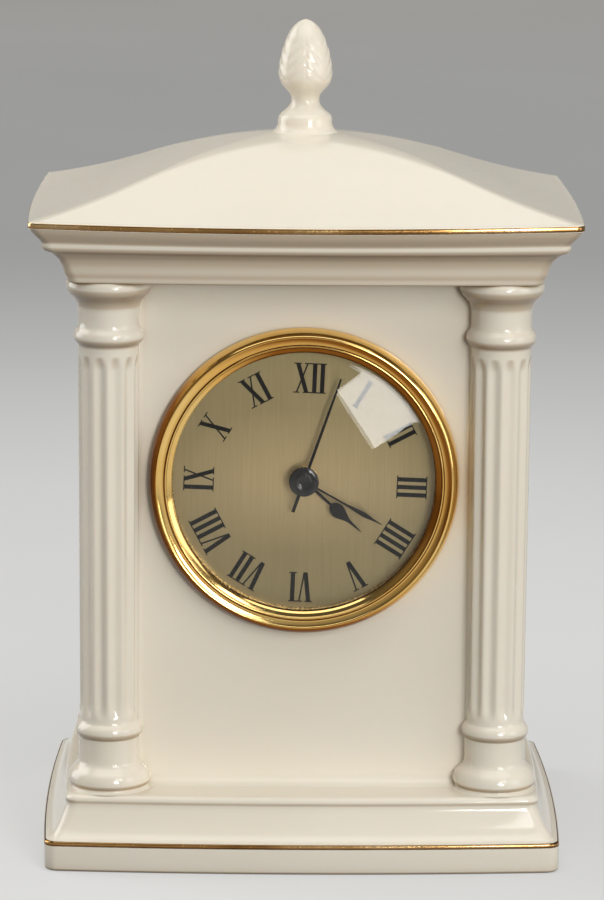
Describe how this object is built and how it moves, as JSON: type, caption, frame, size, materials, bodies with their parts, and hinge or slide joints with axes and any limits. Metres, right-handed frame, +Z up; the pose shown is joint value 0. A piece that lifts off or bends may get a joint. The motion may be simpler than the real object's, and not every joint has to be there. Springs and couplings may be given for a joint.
{
  "type": "pillar clock",
  "caption": "Table clock in the form of a small temple, with fluted corner pillars, a hipped roof with a finial, a gilt bezel and a champagne dial on a pull-out quartz insert.",
  "frame": {"origin": "under the middle of the plinth, on the surface that the clock stands on", "axes": "+Z up, the dial faces -Y, +X to the right of someone facing the dial"},
  "size_m": [0.1462, 0.1096, 0.2206],
  "materials": {
    "porcelain": "clear glossy glaze on ivory porcelain",
    "fired_gold": "thin fired gold line, soft gloss",
    "gilt": "polished gold plate",
    "lens_glass": "clear domed mineral glass",
    "dial": "champagne anodised, brushed up and down, black printed numerals",
    "rubber": "matt",
    "black_plastic": "moulded, fine grain",
    "pale_plastic": "moulded, satin",
    "brass": "turned",
    "steel": "ground",
    "cell_jacket": "printed steel jacket, plain",
    "copper_wire": "enamelled copper wire on a bobbin",
    "board_laminate": "solder mask",
    "black_lacquer": "black lacquer on thin brass"
  },
  "bodies": {
    "case": {"plinth": "porcelain", "case_body": "porcelain", "pillar_front_left": "porcelain", "pillar_front_right": "porcelain", "pillar_rear_left": "porcelain", "pillar_rear_right": "porcelain", "cornice": "porcelain", "roof": "porcelain", "finial": "porcelain", "base_gold_band": "fired_gold", "roof_gold_band": "fired_gold"},
    "insert": {"bezel": "gilt", "lens": "lens_glass", "reflector_ring": "gilt", "dial_plate": "dial", "gasket_ring": "rubber", "insert_cup": "black_plastic", "movement_case": "pale_plastic", "movement_cover": "pale_plastic", "cover_screw_1": "steel", "cover_screw_2": "steel", "cover_screw_3": "steel", "cover_screw_4": "steel", "centre_bush": "brass", "dial_nut": "brass", "circuit_board": "board_laminate", "quartz_crystal": "steel", "driver_chip": "black_plastic", "drive_coil": "copper_wire", "stator": "steel", "battery": "cell_jacket", "contact_positive": "brass", "contact_negative": "brass"},
    "second_hand": {"seconds_wheel": "pale_plastic", "second_hand": "black_lacquer", "hub_cap": "black_lacquer"},
    "minute_hand": {"minute_pinion": "brass", "minute_hand": "black_lacquer"},
    "hour_hand": {"hour_wheel": "pale_plastic", "hour_hand": "black_lacquer"},
    "third_wheel": {"third_wheel": "pale_plastic"},
    "centre_wheel": {"centre_wheel": "brass"},
    "step_wheel": {"step_wheel": "pale_plastic"},
    "rotor": {"rotor": "steel"},
    "minute_wheel": {"minute_wheel": "pale_plastic"},
    "setting_knob": {"setting_knob": "black_plastic"},
    "battery_cover": {"battery_cover": "black_plastic"}
  },
  "joints": [
    {"name": "insert_pull", "type": "slide", "parent": "case", "child": "insert", "axis": [0, -1, 0], "range_m": [0, 0.03]},
    {"name": "second_hand_turn", "type": "hinge", "parent": "insert", "child": "second_hand", "pos_m": [0, -0.0341, 0.10203], "axis": [0, 1, 0], "continuous": true},
    {"name": "third_wheel_turn", "type": "hinge", "parent": "insert", "child": "third_wheel", "pos_m": [-0.0102, -0.0341, 0.10203], "axis": [0, 1, 0], "continuous": true},
    {"name": "centre_wheel_turn", "type": "hinge", "parent": "insert", "child": "centre_wheel", "pos_m": [0, -0.0341, 0.10203], "axis": [0, 1, 0], "continuous": true},
    {"name": "step_wheel_turn", "type": "hinge", "parent": "insert", "child": "step_wheel", "pos_m": [0.006, -0.0341, 0.10203], "axis": [0, 1, 0], "continuous": true},
    {"name": "rotor_turn", "type": "hinge", "parent": "insert", "child": "rotor", "pos_m": [0.01126, -0.0341, 0.10395], "axis": [0, 1, 0], "continuous": true},
    {"name": "minute_hand_turn", "type": "hinge", "parent": "insert", "child": "minute_hand", "pos_m": [0, -0.0341, 0.10203], "axis": [0, 1, 0], "continuous": true},
    {"name": "minute_wheel_turn", "type": "hinge", "parent": "insert", "child": "minute_wheel", "pos_m": [0, -0.0341, 0.10803], "axis": [0, 1, 0], "continuous": true},
    {"name": "hour_hand_turn", "type": "hinge", "parent": "insert", "child": "hour_hand", "pos_m": [0, -0.0341, 0.10203], "axis": [0, 1, 0], "continuous": true},
    {"name": "setting_knob_turn", "type": "hinge", "parent": "insert", "child": "setting_knob", "pos_m": [0, -0.0341, 0.11433], "axis": [0, 1, 0], "continuous": true},
    {"name": "battery_cover_pull", "type": "slide", "parent": "insert", "child": "battery_cover", "axis": [0, 1, 0], "range_m": [0, 0.008]}
  ],
  "couplings": [
    {"joint": "third_wheel_turn", "follows": "second_hand_turn", "ratio": -0.13333},
    {"joint": "centre_wheel_turn", "follows": "second_hand_turn", "ratio": 0.016667},
    {"joint": "step_wheel_turn", "follows": "second_hand_turn", "ratio": -5},
    {"joint": "rotor_turn", "follows": "second_hand_turn", "ratio": 30},
    {"joint": "minute_wheel_turn", "follows": "minute_hand_turn", "ratio": -0.33333},
    {"joint": "hour_hand_turn", "follows": "minute_hand_turn", "ratio": 0.083333},
    {"joint": "setting_knob_turn", "follows": "minute_hand_turn", "ratio": 0.83333}
  ]
}
